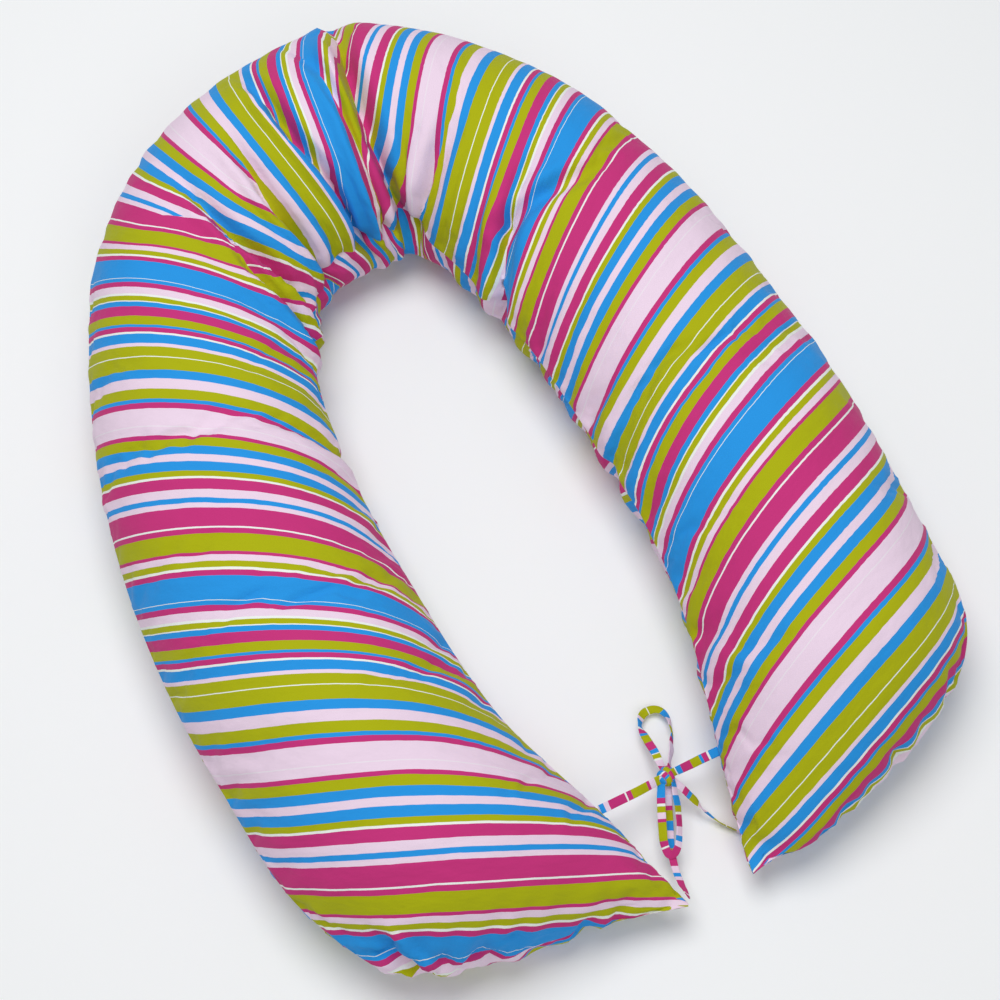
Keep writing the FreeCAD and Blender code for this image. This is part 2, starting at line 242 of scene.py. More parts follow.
FOLD_REACH_BELOW = 30.0                  # how far a fold fades out under the seam it meets, mm
FOLD_STEPS = 90                          # points along a fold's line
FOLD_WINDOW = 30                         # columns beside a fold that it can move
FOLD_RUN_IN = 0.45                       # share of its length over which a fold deepens


def grid_normals(grid, outward):
    """Unit normals of a grid; outward is 1 or -1 so that they point away from the filling."""
    along = np.gradient(grid, axis=0)
    over = np.gradient(grid, axis=1)
    normal = np.cross(along, over) * outward
    return normal / np.maximum(np.linalg.norm(normal, axis=2, keepdims=True), 1e-9)


def press_folds(top, bottom, columns):
    """Press the valleys into the top panel, and carry them over the inner seam."""
    shares = across_shares()
    count = np.arange(len(columns))
    normal = grid_normals(top, 1)
    press = np.zeros(top.shape[:2])
    for depth, width, swell, points in FOLDS:
        reach = np.linspace(0, 1, FOLD_STEPS)
        knots = np.linspace(0, 1, len(points))
        column = np.interp(np.interp(reach, knots, [p[0] for p in points]), columns[:, 6], count)
        row = np.interp(np.interp(reach, knots, [p[1] for p in points]), shares, np.arange(len(shares)))
        low = np.floor(column).astype(int)
        part = (column - low)[:, None]
        at = np.round(row).astype(int)
        path = top[low, at] * (1 - part) + top[np.minimum(low + 1, count[-1]), at] * part
        near = slice(max(low.min() - FOLD_WINDOW, 0), low.max() + FOLD_WINDOW + 1)
        area = top[near]
        gap = np.linalg.norm(area[:, :, None, :] - path[None, None], axis=3)
        nearest = gap.argmin(axis=2)
        distance = gap.min(axis=2) * np.where(count[near][:, None] < column[nearest], -1, 1)
        x = distance / width
        strength = np.clip(reach[nearest] / FOLD_RUN_IN, 0, 1) ** 0.8
        # The valley is steep on the side of the left tip, with its larger swell there.
        valley = -depth * np.exp(-np.where(x < 0, x / 0.55, x / 1.15) ** 2)
        beside = swell * (np.exp(-((x + 1.5) / 0.9) ** 2) + 0.4 * np.exp(-((x - 2.2) / 1.3) ** 2))
        press[near] += strength * (valley + beside)
    push = normal * press[:, :, None]
    carried = bottom.copy()
    for seam in (slice(0, 1), slice(-1, None)):
        below = np.linalg.norm(bottom - bottom[:, seam], axis=2)
        carried += push[:, seam] * np.exp(-(below / FOLD_REACH_BELOW) ** 2)[:, :, None]
    return top + push, carried


# ---------------------------------------------------------------- filling the cover
SIM_FRAMES = 14
SIM_CAP = 16.0                           # no point of the cloth moves further, mm
RESTING = 0.7                            # cloth below this height lies on the floor, mm
SIM_PRESSURE = 6.0
SIM_SLACK = 0.02                         # share by which the cloth is larger than its seams
ZIP_ROWS_HELD = 0.16                     # share of the bottom panel held flat by the zip


def over_zip(columns):
    """How firmly the zip holds each column of the cover, 0 to 1."""
    outer = columns[:, 2:4] - np.array(ZIP_CENTRE)
    angle = np.degrees(np.arctan2(outer[:, 1], outer[:, 0])) % 360
    inside = np.minimum(angle - ZIP_SPAN[0], ZIP_SPAN[1] - angle)
    return np.clip(1 + inside / 2.0, 0, 1) * (columns[:, 6] < ZIP_RIBS_END)


def stuff(top, bottom, columns):
    """Cloth simulation of the folded cover under the filling's pressure; the same grids again."""
    count, rows = top.shape[:2]
    on_top = np.arange(count * rows).reshape(count, rows)
    below = on_top.copy()
    below[:, 1:-1] = count * rows + np.arange(count * (rows - 2)).reshape(count, rows - 2)
    points = np.concatenate([top.reshape(-1, 3), bottom[:, 1:-1].reshape(-1, 3)])
    faces = []
    for i in range(count - 1):
        for j in range(rows - 1):
            faces.append((on_top[i, j], on_top[i, j + 1], on_top[i + 1, j + 1], on_top[i + 1, j]))
            faces.append((below[i, j], below[i + 1, j], below[i + 1, j + 1], below[i, j + 1]))
    for i in (0, count - 1):
        faces.append([*on_top[i], *below[i, -2:0:-1]])
    mesh = bpy.data.meshes.new("cover")
    mesh.from_pydata((points * MM).tolist(), [], faces)
    edit = bmesh.new()
    edit.from_mesh(mesh)
    bmesh.ops.recalc_face_normals(edit, faces=edit.faces)
    edit.to_mesh(mesh)
    edit.free()
    cover = bpy.data.objects.new("cover", mesh)
    bpy.context.scene.collection.objects.link(cover)

    held = np.zeros(len(points))
    held[on_top[:, -1]] = 1
    held[on_top[:, 0]] = 1
    held[points[:, 2] < RESTING] = 1
    held[on_top[[0, -1]]] = 1
    held[below[[0, -1]]] = 1
    share = across_shares()
    held_rows = np.clip((share - 1 + 2 * ZIP_ROWS_HELD) / ZIP_ROWS_HELD, 0, 1)
    zip_hold = over_zip(columns)[:, None] * held_rows[None, :]
    held[below] = np.maximum(held[below], zip_hold)
    pins = cover.vertex_groups.new(name="pins")
    for level in np.unique(np.round(held, 1)):
        if level > 0:
            pins.add(np.flatnonzero(np.round(held, 1) == level).tolist(), float(level), "REPLACE")

    cloth = cover.modifiers.new("Cloth", "CLOTH")
    settings = cloth.settings
    settings.quality = 4
    settings.mass = 0.05
    settings.tension_stiffness = 20
    settings.compression_stiffness = 20
    settings.shear_stiffness = 6
    settings.bending_stiffness = 0.05
    settings.tension_damping = 3
    settings.compression_damping = 3
    settings.shear_damping = 3
    settings.air_damping = 2
    settings.use_pressure = True
    settings.uniform_pressure_force = SIM_PRESSURE
    settings.shrink_min = -SIM_SLACK
    settings.effector_weights.gravity = 0
    settings.vertex_group_mass = "pins"
    cloth.collision_settings.use_collision = False
    cloth.collision_settings.use_self_collision = False
    cloth.point_cache.frame_start = 1
    cloth.point_cache.frame_end = SIM_FRAMES
    for step in range(1, SIM_FRAMES + 1):
        bpy.context.scene.frame_set(step)
    moved = cover.evaluated_get(bpy.context.evaluated_depsgraph_get()).data
    result = np.zeros(len(points) * 3)
    moved.vertices.foreach_get("co", result)
    shift = result.reshape(-1, 3) / MM - points
    far = np.linalg.norm(shift, axis=1)
    print("cloth moved: mean %.1f mm, most %.1f mm" % (far.mean(), far.max()))
    shift *= (SIM_CAP * np.tanh(far / SIM_CAP) / np.maximum(far, 1e-9))[:, None]
    result = points + shift
    bpy.data.objects.remove(cover)
    bpy.context.scene.frame_set(1)
    return result[on_top], result[below]


# ---------------------------------------------------------------- fine shape of the cover
FINER = 2                                # grid steps for each step of the simulation


def refined(grid):
    """The grid with FINER times as many steps each way, on smooth curves."""
    for axis in (0, 1):
        grid = np.swapaxes(grid, 0, axis)
        last = len(grid) - 1
        t = np.linspace(0, last, last * FINER + 1)
        flat_grid = catmull(grid.reshape(len(grid), -1), t)
        grid = np.swapaxes(flat_grid.reshape(len(t), *grid.shape[1:]), 0, axis)
    return grid


def ripple(along, seed, longest, shortest, terms=14):
    """Seeded uneven waves along a seam, about -1 to 1."""
    dice = np.random.default_rng(seed)
    total = np.zeros_like(along)
    for _ in range(terms):
        length = shortest * (longest / shortest) ** dice.random()
        total += np.sin(2 * math.pi * (along / length + dice.random()))
    return total / math.sqrt(terms)


# How strongly the cover puckers beside a seam, and wrinkles between the inner seam and the
# middle of the top panel, in mm, at rib numbers.
PUCKER_INNER = [(0, 0), (1, 0.6), (4, 1.2), (9, 1.8), (13, 2.5), (18, 2.6), (24, 2.2), (29, 1.4), (32, 0.8),
                (33, 0)]
PUCKER_OUTER = [(0, 0), (1, 0.6), (3, 1.6), (5, 1.6), (7, 0.8), (12, 0.5), (17, 1.0), (21, 0.5), (26, 0.6),
                (28, 1.4), (31, 1.4), (32, 0.7), (33, 0)]
WRINKLE = [(8, 0), (11, 2.5), (13, 5.0), (18, 5.5), (21, 4.0), (24, 2.0), (28, 1.0), (31, 0)]


def pucker(grid, side, columns):
    """Gathers beside both seams and slack waves between them."""
    normal = grid_normals(grid, side)
    out = np.zeros(grid.shape[:2])
    for edge, table, seed in ((0, PUCKER_INNER, 3), (-1, PUCKER_OUTER, 7)):
        seam = grid[:, edge]
        along = np.concatenate([[0], np.cumsum(np.linalg.norm(np.diff(seam, axis=0), axis=1))])
        size = np.interp(columns[:, 6], *zip(*table))
        away = np.linalg.norm(grid - seam[:, None], axis=2)
        short = ripple(along, seed, 34, 17)
        long = ripple(along, seed + 1, 70, 28)
        near = np.exp(-(away / 16) ** 2) * (1 - np.exp(-(away / 3.5) ** 2))
        wide = np.exp(-(away / 55) ** 2) * (1 - np.exp(-(away / 9) ** 2))
        out += size[:, None] * (0.45 * short[:, None] * near + long[:, None] * wide)
        if edge == 0 and side > 0:
            # Puffed ridges with sharp creases between them, from the inner seam to mid-panel.
            puffs = np.minimum(np.abs(ripple(along, 11, 75, 26)), 1) - 0.5
            size = np.interp(columns[:, 6], *zip(*WRINKLE))
            band = np.exp(-(away / 120) ** 2) * (1 - np.exp(-(away / 14) ** 2))
            out += size[:, None] * puffs[:, None] * band
    return grid + normal * out[:, :, None]


TAKEN_UP_ABOVE = 1.2                     # surplus starts at this many times the surface's length
TAKEN_UP_RIBS = (9, 24)                  # ribs between which it is tucked away
PLEAT_RIBS = (10, 23)                    # ribs where a fold that meets the inner seam takes it in


def take_up(flat, surface, columns):
    """Tuck surplus cloth away in the folds that reach the inner seam.

    Returns the flat map without the surplus, and for each fold the column that it lies on
    and the length of cloth inside it, both for every row.
    """
    shares = across_shares()
    count = np.arange(len(columns))
    steps = np.linalg.norm(np.diff(surface, axis=0), axis=2)
    surplus = np.maximum(np.diff(flat[:, :, 1], axis=0) - TAKEN_UP_ABOVE * steps, 0)
    crown = (columns[1:, 6] > TAKEN_UP_RIBS[0]) & (columns[1:, 6] < TAKEN_UP_RIBS[1])
    surplus *= crown[:, None]
    total = np.concatenate([np.zeros((1, len(shares))), np.cumsum(surplus, axis=0)])
    pleats = [points for _, _, _, points in FOLDS
              if points[-1][1] == 0 and PLEAT_RIBS[0] < points[-1][0] < PLEAT_RIBS[1]]
    pleats.sort(key=lambda points: points[-1][0])
    lines = []
    for points in pleats:
        ribs = np.interp(shares, [p[1] for p in points[::-1]], [p[0] for p in points[::-1]])
        lines.append(np.interp(ribs, columns[:, 6], count))
    tucks = []
    for k, line in enumerate(lines):
        lower = (lines[k - 1] + line) / 2 if k else np.zeros(len(shares))
        upper = (lines[k + 1] + line) / 2 if k + 1 < len(lines) else np.full(len(shares), count[-1])
        taken = [np.interp(high, count, column) - np.interp(low, count, column)
                 for low, high, column in zip(lower, upper, total.T)]
        tucks.append((line, np.array(taken)))
    smooth = flat.copy()
    smooth[:, :, 1] -= total
    return smooth, tucks


SETTLED = (10, 23)                       # ribs between which the columns follow the fold lines


def settled(lines, columns, rows):
    """Column to read at each place, row by row, so that every fold line keeps to one column.

    Returns these as (columns, rows), and the column that each line keeps to.
    """
    count = np.arange(len(columns))
    low, high = np.searchsorted(columns[:, 6], SETTLED)
    homes = [int(round(line.mean())) for line in lines]
    ends = [0, low, *homes, high, count[-1]]
    source = []
    for j in range(rows):
        at = [0, low, *[line[j] for line in lines], high, count[-1]]
        source.append(np.interp(count, ends, at))
    return np.stack(source, axis=1), homes


def follow(grid, source):
    """The grid read at other columns, row by row."""
    return np.stack([catmull(grid[:, j], source[:, j]) for j in range(grid.shape[1])], axis=1)


def grid_mesh(name, grid, cloth_map, side, dropped=None, tucks=(), first_column=0):
    """Mesh of a grid with the cloth's flat cut as its UV map, in metres, tucks cut out of it."""
    count, rows = grid.shape[:2]
    number = np.arange(count * rows).reshape(count, rows)
    faces = []
    for i in range(count - 1):
        for j in range(rows - 1):
            if dropped is not None and dropped[i, j]:
                continue
            corners = (number[i, j], number[i, j + 1], number[i + 1, j + 1], number[i + 1, j])
            faces.append(corners if side > 0 else corners[::-1])
    mesh = bpy.data.meshes.new(name)
    mesh.from_pydata((grid.reshape(-1, 3) * MM).tolist(), [], faces)
    layer = mesh.uv_layers.new(name="cloth")
    corner_vertex = np.zeros(len(mesh.loops), int)
    mesh.loops.foreach_get("vertex_index", corner_vertex)
    placed = cloth_map.reshape(-1, 2)[corner_vertex].copy()
    row = corner_vertex % rows
    face_column = np.repeat(corner_vertex.reshape(-1, 4).min(axis=1) // rows, 4) + first_column + 0.5
    for home, taken in tucks:
        placed[:, 1] += taken[row] * (face_column > home)
    layer.data.foreach_set("uv", (placed * MM).ravel())
    edit = bmesh.new()
    edit.from_mesh(mesh)
    bmesh.ops.remove_doubles(edit, verts=edit.verts, dist=0.00005)
    loose = [vert for vert in edit.verts if not vert.link_faces]
    bmesh.ops.delete(edit, geom=loose, context="VERTS")
    edit.to_mesh(mesh)
    edit.free()
    mesh.shade_smooth()
    piece = bpy.data.objects.new(name, mesh)
    bpy.context.scene.collection.objects.link(piece)
    return piece


def beside_slot(place):
    """Whether a point, in metres, lies where only the zip's slot has loose edges."""
    return 0.05 < place.z < 0.083 and place.x < -0.3 and place.y < 0.155


def fold_slot_edges(piece, inwards):
    """Turn the cover's edges along the zip inwards, as a pressed fold."""
    edit = bmesh.new()
    edit.from_mesh(piece.data)
    edges = [edge for edge in edit.edges if edge.is_boundary and edge.calc_length() > 0
             and all(inwards(vert.co) for vert in edge.verts)]
    for depth in (0.0006, 0.0010):
        made = bmesh.ops.extrude_edge_only(edit, edges=edges)["geom"]
        verts = [item for item in made if isinstance(item, bmesh.types.BMVert)]
        edges = [item for item in made if isinstance(item, bmesh.types.BMEdge)]
        for vert in verts:
            outward = Vector((vert.co.x - ZIP_CENTRE[0] * MM, vert.co.y - ZIP_CENTRE[1] * MM, 0))
            vert.co -= outward.normalized() * depth
    edit.to_mesh(piece.data)
    edit.free()


# ---------------------------------------------------------------- materials
PINK = (0.850, 0.675, 0.815)
MAGENTA = (0.575, 0.036, 0.200)
BLUE = (0.022, 0.305, 0.770)
OLIVE = (0.420, 0.440, 0.005)
WHITE = (0.860, 0.890, 0.850)
PALE = (0.850, 0.760, 0.840)
# One repeat of the printed cloth: colour and width of each stripe. The widths are scaled so
# that together they fill REPEAT.
STRIPES = [
    (PINK, 10), (PALE, 1.2), (PINK, 20.8), (MAGENTA, 7), (BLUE, 4.5), (OLIVE, 12.5), (PINK, 13),
    (BLUE, 11), (OLIVE, 16), (WHITE, 1), (OLIVE, 12), (PINK, 4), (BLUE, 11.5), (WHITE, 2.5),
    (MAGENTA, 6), (BLUE, 3.3), (OLIVE, 10.5), (MAGENTA, 12), (BLUE, 6), (WHITE, 1.3), (OLIVE, 6),
    (WHITE, 2.7), (PINK, 8.7), (MAGENTA, 6.3), (BLUE, 4.5), (WHITE, 0.7), (BLUE, 26), (MAGENTA, 6),
    (WHITE, 2.8), (OLIVE, 6.8), (PINK, 7), (MAGENTA, 3.7), (OLIVE, 20), (MAGENTA, 6), (WHITE, 2),
    (MAGENTA, 22), (PINK, 6), (BLUE, 6.3), (PINK, 10), (MAGENTA, 13), (WHITE, 2.5), (OLIVE, 7),
    (BLUE, 11.5), (PINK, 9), (BLUE, 10.7), (OLIVE, 11.5), (MAGENTA, 5.2),
]
STRIPES_PER_RAMP = 8
REPEAT = 347.0                           # the cloth's repeat, mm
FIRST_START = 112.0                      # start of the first pale stripe on the flat cut, mm


def new_material(name, **values):
    material = bpy.data.materials.new(name)
    material.use_nodes = True
    shader = material.node_tree.nodes["Principled BSDF"]
    for socket, value in values.items():
        shader.inputs[socket.replace("_", " ")].default_value = value
    return material, material.node_tree.nodes, material.node_tree.links, shader


def math_node(nodes, links, operation, first, second=None, third=None):
    node = nodes.new("ShaderNodeMath")
    node.operation = operation
    for socket, value in zip(node.inputs, (first, second, third)):
        if value is None:
            continue
        if isinstance(value, (int, float)):
            socket.default_value = value
        else:
            links.new(value, socket)
    return node.outputs[0]


def noise(nodes, links, vector, scale, detail=2.0, stretch=None):
    if stretch is not None:
        mapping = nodes.new("ShaderNodeMapping")
        mapping.inputs["Scale"].default_value = stretch
        links.new(vector, mapping.inputs["Vector"])
        vector = mapping.outputs[0]
    node = nodes.new("ShaderNodeTexNoise")
    node.inputs["Scale"].default_value = scale
    node.inputs["Detail"].default_value = detail
    links.new(vector, node.inputs["Vector"])
    return node.outputs["Fac"]


def stripe_ramp(nodes, links, position, bands):
    """Constant colour ramp over part of the repeat; bands are (start, colour)."""
    ramp = nodes.new("ShaderNodeValToRGB")
    ramp.color_ramp.interpolation = "CONSTANT"
    stops = ramp.color_ramp.elements
    while len(stops) < len(bands):
        stops.new(1.0)
    for stop, (start, colour) in zip(stops, bands):
        stop.position = start
        stop.color = (*colour, 1)
    links.new(position, ramp.inputs["Fac"])
    return ramp.outputs["Color"]


def striped_cotton(name, offset):
    """Printed cotton; offset shifts the stripes along the cloth, in mm."""
    material, nodes, links, shader = new_material(
        name, Roughness=0.86, Sheen_Weight=0.08, Sheen_Roughness=0.45, Specular_IOR_Level=0.12)
    cloth = nodes.new("ShaderNodeUVMap")
    cloth.uv_map = "cloth"
    axes = nodes.new("ShaderNodeSeparateXYZ")
    links.new(cloth.outputs["UV"], axes.inputs[0])
    wobble = noise(nodes, links, cloth.outputs["UV"], 90.0, 3.0)
    wobble = math_node(nodes, links, "MULTIPLY_ADD", wobble, 0.0008, -0.0004)
    place = math_node(nodes, links, "ADD", axes.outputs["Y"], wobble)
    shift = (-FIRST_START - offset) / REPEAT
    place = math_node(nodes, links, "MULTIPLY_ADD", place, 1000.0 / REPEAT, shift)
    place = math_node(nodes, links, "WRAP", place, 1.0, 0.0)
    total = sum(width for _, width in STRIPES)
    starts = np.cumsum([0.0] + [width for _, width in STRIPES]) / total
    printed = None
    for first in range(0, len(STRIPES), STRIPES_PER_RAMP):
        part = STRIPES[first:first + STRIPES_PER_RAMP]
        low, high = starts[first], starts[first + len(part)]
        local = math_node(nodes, links, "MULTIPLY_ADD", place, 1 / (high - low), -low / (high - low))
        bands = [((at - low) / (high - low), colour) for at, (colour, _) in zip(starts[first:], part)]
        colours = stripe_ramp(nodes, links, local, bands)
        if printed is None:
            printed = colours
            continue
        choose = nodes.new("ShaderNodeMix")
        choose.data_type = "RGBA"
        links.new(math_node(nodes, links, "GREATER_THAN", place, float(low)), choose.inputs[0])
        links.new(printed, choose.inputs[6])
        links.new(colours, choose.inputs[7])
        printed = choose.outputs[2]
    # Uneven ink, and threads that show a little through it.
    weft = noise(nodes, links, cloth.outputs["UV"], 900.0, 1.0, (1.0, 6.0, 1.0))
    warp = noise(nodes, links, cloth.outputs["UV"], 900.0, 1.0, (6.0, 1.0, 1.0))
    threads = math_node(nodes, links, "ADD", weft, warp)
    ink = noise(nodes, links, cloth.outputs["UV"], 14.0, 3.0)
    tone = math_node(nodes, links, "MULTIPLY_ADD", threads, 0.24, 0.76)
    tone = math_node(nodes, links, "SUBTRACT", tone, 0.03)
    tone = math_node(nodes, links, "MULTIPLY_ADD", ink, 0.06, tone)
    colour = nodes.new("ShaderNodeVectorMath")
    colour.operation = "SCALE"
    links.new(printed, colour.inputs[0])
    links.new(tone, colour.inputs["Scale"])
    links.new(colour.outputs[0], shader.inputs["Base Color"])
    # Soft creases first, then the weave.
    creases = noise(nodes, links, cloth.outputs["UV"], 11.0, 4.0, (1.0, 2.2, 1.0))
    crease = nodes.new("ShaderNodeBump")
    crease.inputs["Strength"].default_value = 0.5
    crease.inputs["Distance"].default_value = 0.012
    links.new(creases, crease.inputs["Height"])
    weave = nodes.new("ShaderNodeBump")
    weave.inputs["Strength"].default_value = 0.3
    weave.inputs["Distance"].default_value = 0.0002
    links.new(threads, weave.inputs["Height"])
    links.new(crease.outputs[0], weave.inputs["Normal"])
    links.new(weave.outputs[0], shader.inputs["Normal"])
    return material


def metal():
    material, nodes, links, shader = new_material(
        "zip_metal", Base_Color=(0.62, 0.63, 0.65, 1), Metallic=1.0, Roughness=0.28)
    place = nodes.new("ShaderNodeTexCoord").outputs["Object"]
    rough = noise(nodes, links, place, 900.0, 3.0)
    links.new(math_node(nodes, links, "MULTIPLY_ADD", rough, 0.25, 0.18), shader.inputs["Roughness"])
    return material


def woven(name, colour, scale):
    """Plain woven or moulded white parts of the zip."""
    material, nodes, links, shader = new_material(
        name, Roughness=0.7, Sheen_Weight=0.15, Sheen_Roughness=0.4)
    place = nodes.new("ShaderNodeTexCoord").outputs["Object"]
    grain = noise(nodes, links, place, scale, 2.0)
    tint = nodes.new("ShaderNodeValToRGB")
    tint.color_ramp.elements[0].color = (*[0.86 * part for part in colour], 1)
    tint.color_ramp.elements[1].color = (*colour, 1)
    links.new(grain, tint.inputs["Fac"])
    links.new(tint.outputs["Color"], shader.inputs["Base Color"])
    bump = nodes.new("ShaderNodeBump")
    bump.inputs["Strength"].default_value = 0.4
    bump.inputs["Distance"].default_value = 0.0002
    links.new(grain, bump.inputs["Height"])
    links.new(bump.outputs[0], shader.inputs["Normal"])
    return material


top_cotton = striped_cotton("cover_cotton_top", 0.0)
bottom_cotton = striped_cotton("cover_cotton_bottom", 150.0)
tie_cotton = striped_cotton("tie_cotton", 0.0)

# ---------------------------------------------------------------- the cover's pieces
top, bottom, flat, columns = build_cover()
flat, tucks = take_up(flat, top, columns)
top, bottom = press_folds(top, bottom, columns)
top, bottom = stuff(top, bottom, columns)
top = refined(top)
bottom = refined(bottom)
flat = refined(flat)
columns = catmull(columns, np.linspace(0, COLUMNS, COLUMNS * FINER + 1))
rows_now = np.linspace(0, len(tucks[0][0]) - 1, flat.shape[1])
rows_before = np.arange(len(tucks[0][0]))
lines = [np.interp(rows_now, rows_before, line) * FINER for line, _ in tucks]
source, homes = settled(lines, columns, len(rows_now))
tucks = [(home, np.interp(rows_now, rows_before, taken)) for home, (_, taken) in zip(homes, tucks)]
top, bottom, flat = [follow(grid, source) for grid in (top, bottom, flat)]
columns = catmull(columns, source[:, -1])
ZIP_FLAT = 34                             # the zip keeps the cover flat this far down, mm
held = (over_zip(columns)[:, None] * np.ones(bottom.shape[1]))[:, :, None]
under = np.linalg.norm(bottom - bottom[:, -1:], axis=2)[:, :, None]
held = held * (under < ZIP_FLAT)
puckered = pucker(bottom, -1, columns)
bottom = bottom * held + puckered * (1 - held)
top = pucker(top, 1, columns)
for grid in (top, bottom):
    grid[:, :, 2] = np.maximum(grid[:, :, 2], 0.4)
DEEPEST_FOLD = 17.6                       # its rib number; the two arms' panels part there
CREASE = min(homes, key=lambda home: abs(columns[home, 6] - DEEPEST_FOLD))

SLOT_ROWS = (8.5, 19.5)                   # opening over the zip, mm down from the seam
angle = np.degrees(np.arctan2(columns[:, 3] - ZIP_CENTRE[1], columns[:, 2] - ZIP_CENTRE[0])) % 360
beside_zip = (angle > ZIP_SPAN[0]) & (angle < ZIP_SPAN[1]) & (columns[:, 6] < ZIP_RIBS_END)
middle_under = (under[:-1, :-1, 0] + under[1:, 1:, 0]) / 2
slot_faces = (middle_under > SLOT_ROWS[0]) & (middle_under < SLOT_ROWS[1])
slot_faces &= beside_zip[:-1, None] & beside_zip[1:, None]

left_half, right_half = slice(0, CREASE + 1), slice(CREASE, len(columns))
PANELS = [
    ("cover_top_panel_left", top, left_half, 1, "left", top_cotton),
    ("cover_top_panel_right", top, right_half, 1, "right", top_cotton),
    ("cover_bottom_panel_left", bottom, left_half, -1, "left", bottom_cotton),
    ("cover_bottom_panel_right", bottom, right_half, -1, "right", bottom_cotton),
]
for name, grid, half, side, arm, material in PANELS:
    dropped = slot_faces[:CREASE] if name == "cover_bottom_panel_left" else None
    panel = grid_mesh(name, grid[half], flat[half], side, dropped, tucks, half.start)
    if dropped is not None:
        fold_slot_edges(panel, beside_slot)
    panel.data.materials.append(material)
    layer = "cover_top_" if side > 0 else "cover_bottom_"
    inside = ["casing_top_", "fill_"] if side > 0 else ["casing_bottom_"]
    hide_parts(*[part + arm for part in [layer] + inside])
    if arm == "left":
        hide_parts(*[part + "crown" for part in [layer] + inside])
    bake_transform(panel)

# ---------------------------------------------------------------- ties and bow
BAND_WIDTH = {"tie_left": 9.2, "tie_right": 9.2, "bow_loop_upper": 8.4, "bow_loop_lower": 8.4,
              "tie_end_left": 7.6, "tie_end_right": 8.4}
BAND_THICKNESS = 1.1
# For each band: its centre line as in the CAD model, in mm; the way its flat faces at even
# steps along it; the number of a stripe in STRIPES, how far along the band that stripe
# starts, in mm, and 1 or -1 for the way the print runs; and what its far end goes into.
BANDS = {
    "tie_left": ([(80, -364, 54), (101, -352, 47.5), (123, -339.5, 42), (144, -326.5, 38)],
                 [(0, -0.3, 1), (0, -0.4, 1), (0.2, -0.6, 0.8)], (37, 6, -1), "knot"),
    "tie_right": ([(198, -305.5, 58.5), (181, -311.5, 51), (164, -318, 43.5), (147, -324.5, 38)],
                  [(0, -0.3, 1), (0.1, -0.4, 1), (0.2, -0.8, 0.6)], (12, 2, 1), "knot"),
    "bow_loop_upper": ([(144, -322, 36), (139, -304, 31), (130, -284, 21), (122, -265, 13), (127, -250, 8),
                        (142, -245, 7), (153, -256, 9), (155, -276, 17), (152, -300, 28), (148, -322, 36)],
                       [(0.8, -0.4, 0.7), (0.3, -0.6, 1), (0.2, -0.6, 1), (0.3, -0.4, 1), (0.9, -0.2, 0.5),
                        (0, -0.2, 1), (0.2, 0.3, 1), (0.9, 0.3, 0.4), (1, 0, 0.25), (0.8, 0, 0.6),
                        (1, 0, 0.35), (0.9, 0, 0.6)], (9, 86, -1), "knot"),
    "bow_loop_lower": ([(141, -328, 37), (140, -350, 35), (141, -372, 31), (142, -392, 28.5), (148, -403, 28),
                        (156, -395, 28), (158, -374, 30), (156, -350, 34), (152, -328, 37)],
                       [(-0.6, -0.4, 0.7), (-0.3, -0.4, 1), (-0.2, -0.4, 1), (-0.2, -0.8, 0.6), (0.7, 0, 0.9),
                        (0.9, 0, 0.8), (0.7, 0, 0.9), (0.9, 0, 0.5)], (35, 67, 1), "knot"),
    "tie_end_left": ([(148, -328, 32), (148, -346, 24.5), (149, -368, 20), (149, -392, 20.5),
                      (152, -416, 29), (157, -434, 42), (161, -447, 51.5)],
                     [(0, -0.5, 1), (0, -0.3, 1), (0.2, -0.2, 1), (0.5, -0.7, 0.7)], (34, 128, -1), "bare"),
    "tie_end_right": ([(150, -327, 35), (167, -338, 26), (181, -350, 14), (196, -361, 6), (213, -369, 4),
                       (228, -376, 5)],
                      [(0, 0.2, 1), (0.1, 0.2, 1), (0.3, 0.2, 1), (0.5, 0.9, 0.1), (0.4, 0.8, 0.3),
                       (0.3, 0.8, 0.3), (0.3, 0.8, 0.2)], (3, 17, 1), "bare"),
}


def stripe_start(number):
    """Where a stripe starts on the flat cut, in mm."""
    widths = [width for _, width in STRIPES]
    return FIRST_START + sum(widths[:number]) * REPEAT / sum(widths)


def centre_line(name, route):
    """Points along the smooth curve that has the route's points as control points, in metres."""
    curve = bpy.data.curves.new(name + "_line", "CURVE")
    curve.dimensions = "3D"
    curve.resolution_u = 14
    spline = curve.splines.new("NURBS")
    spline.points.add(len(route) - 1)
    for point, place in zip(spline.points, route):
        point.co = (*[part * MM for part in place], 1)
    spline.order_u = 3
    spline.use_endpoint_u = True
    holder = bpy.data.objects.new(name + "_line", curve)
    line = bpy.data.meshes.new_from_object(holder)
    points = np.array([vert.co[:] for vert in line.vertices])
    bpy.data.objects.remove(holder)
    return points


def band_outline(width):
    """Cross-section of a folded, stitched band: across and thick, in metres, one flat loop."""
    half, thick = width / 2 * MM, BAND_THICKNESS / 2 * MM
    across = [-0.94, -0.75, -0.55, 0, 0.55, 0.72, 0.80, 0.88, 0.94]
    swell = [0.8, 1.0, 1.05, 1.0, 1.0, 0.85, 0.55, 0.85, 0.8]
    upper = [(part * half, size * thick) for part, size in zip(across, swell)]
    lower = [(x, -z) for x, z in reversed(upper)]
    return upper + [(half, 0)] + lower + [(-half, 0)]


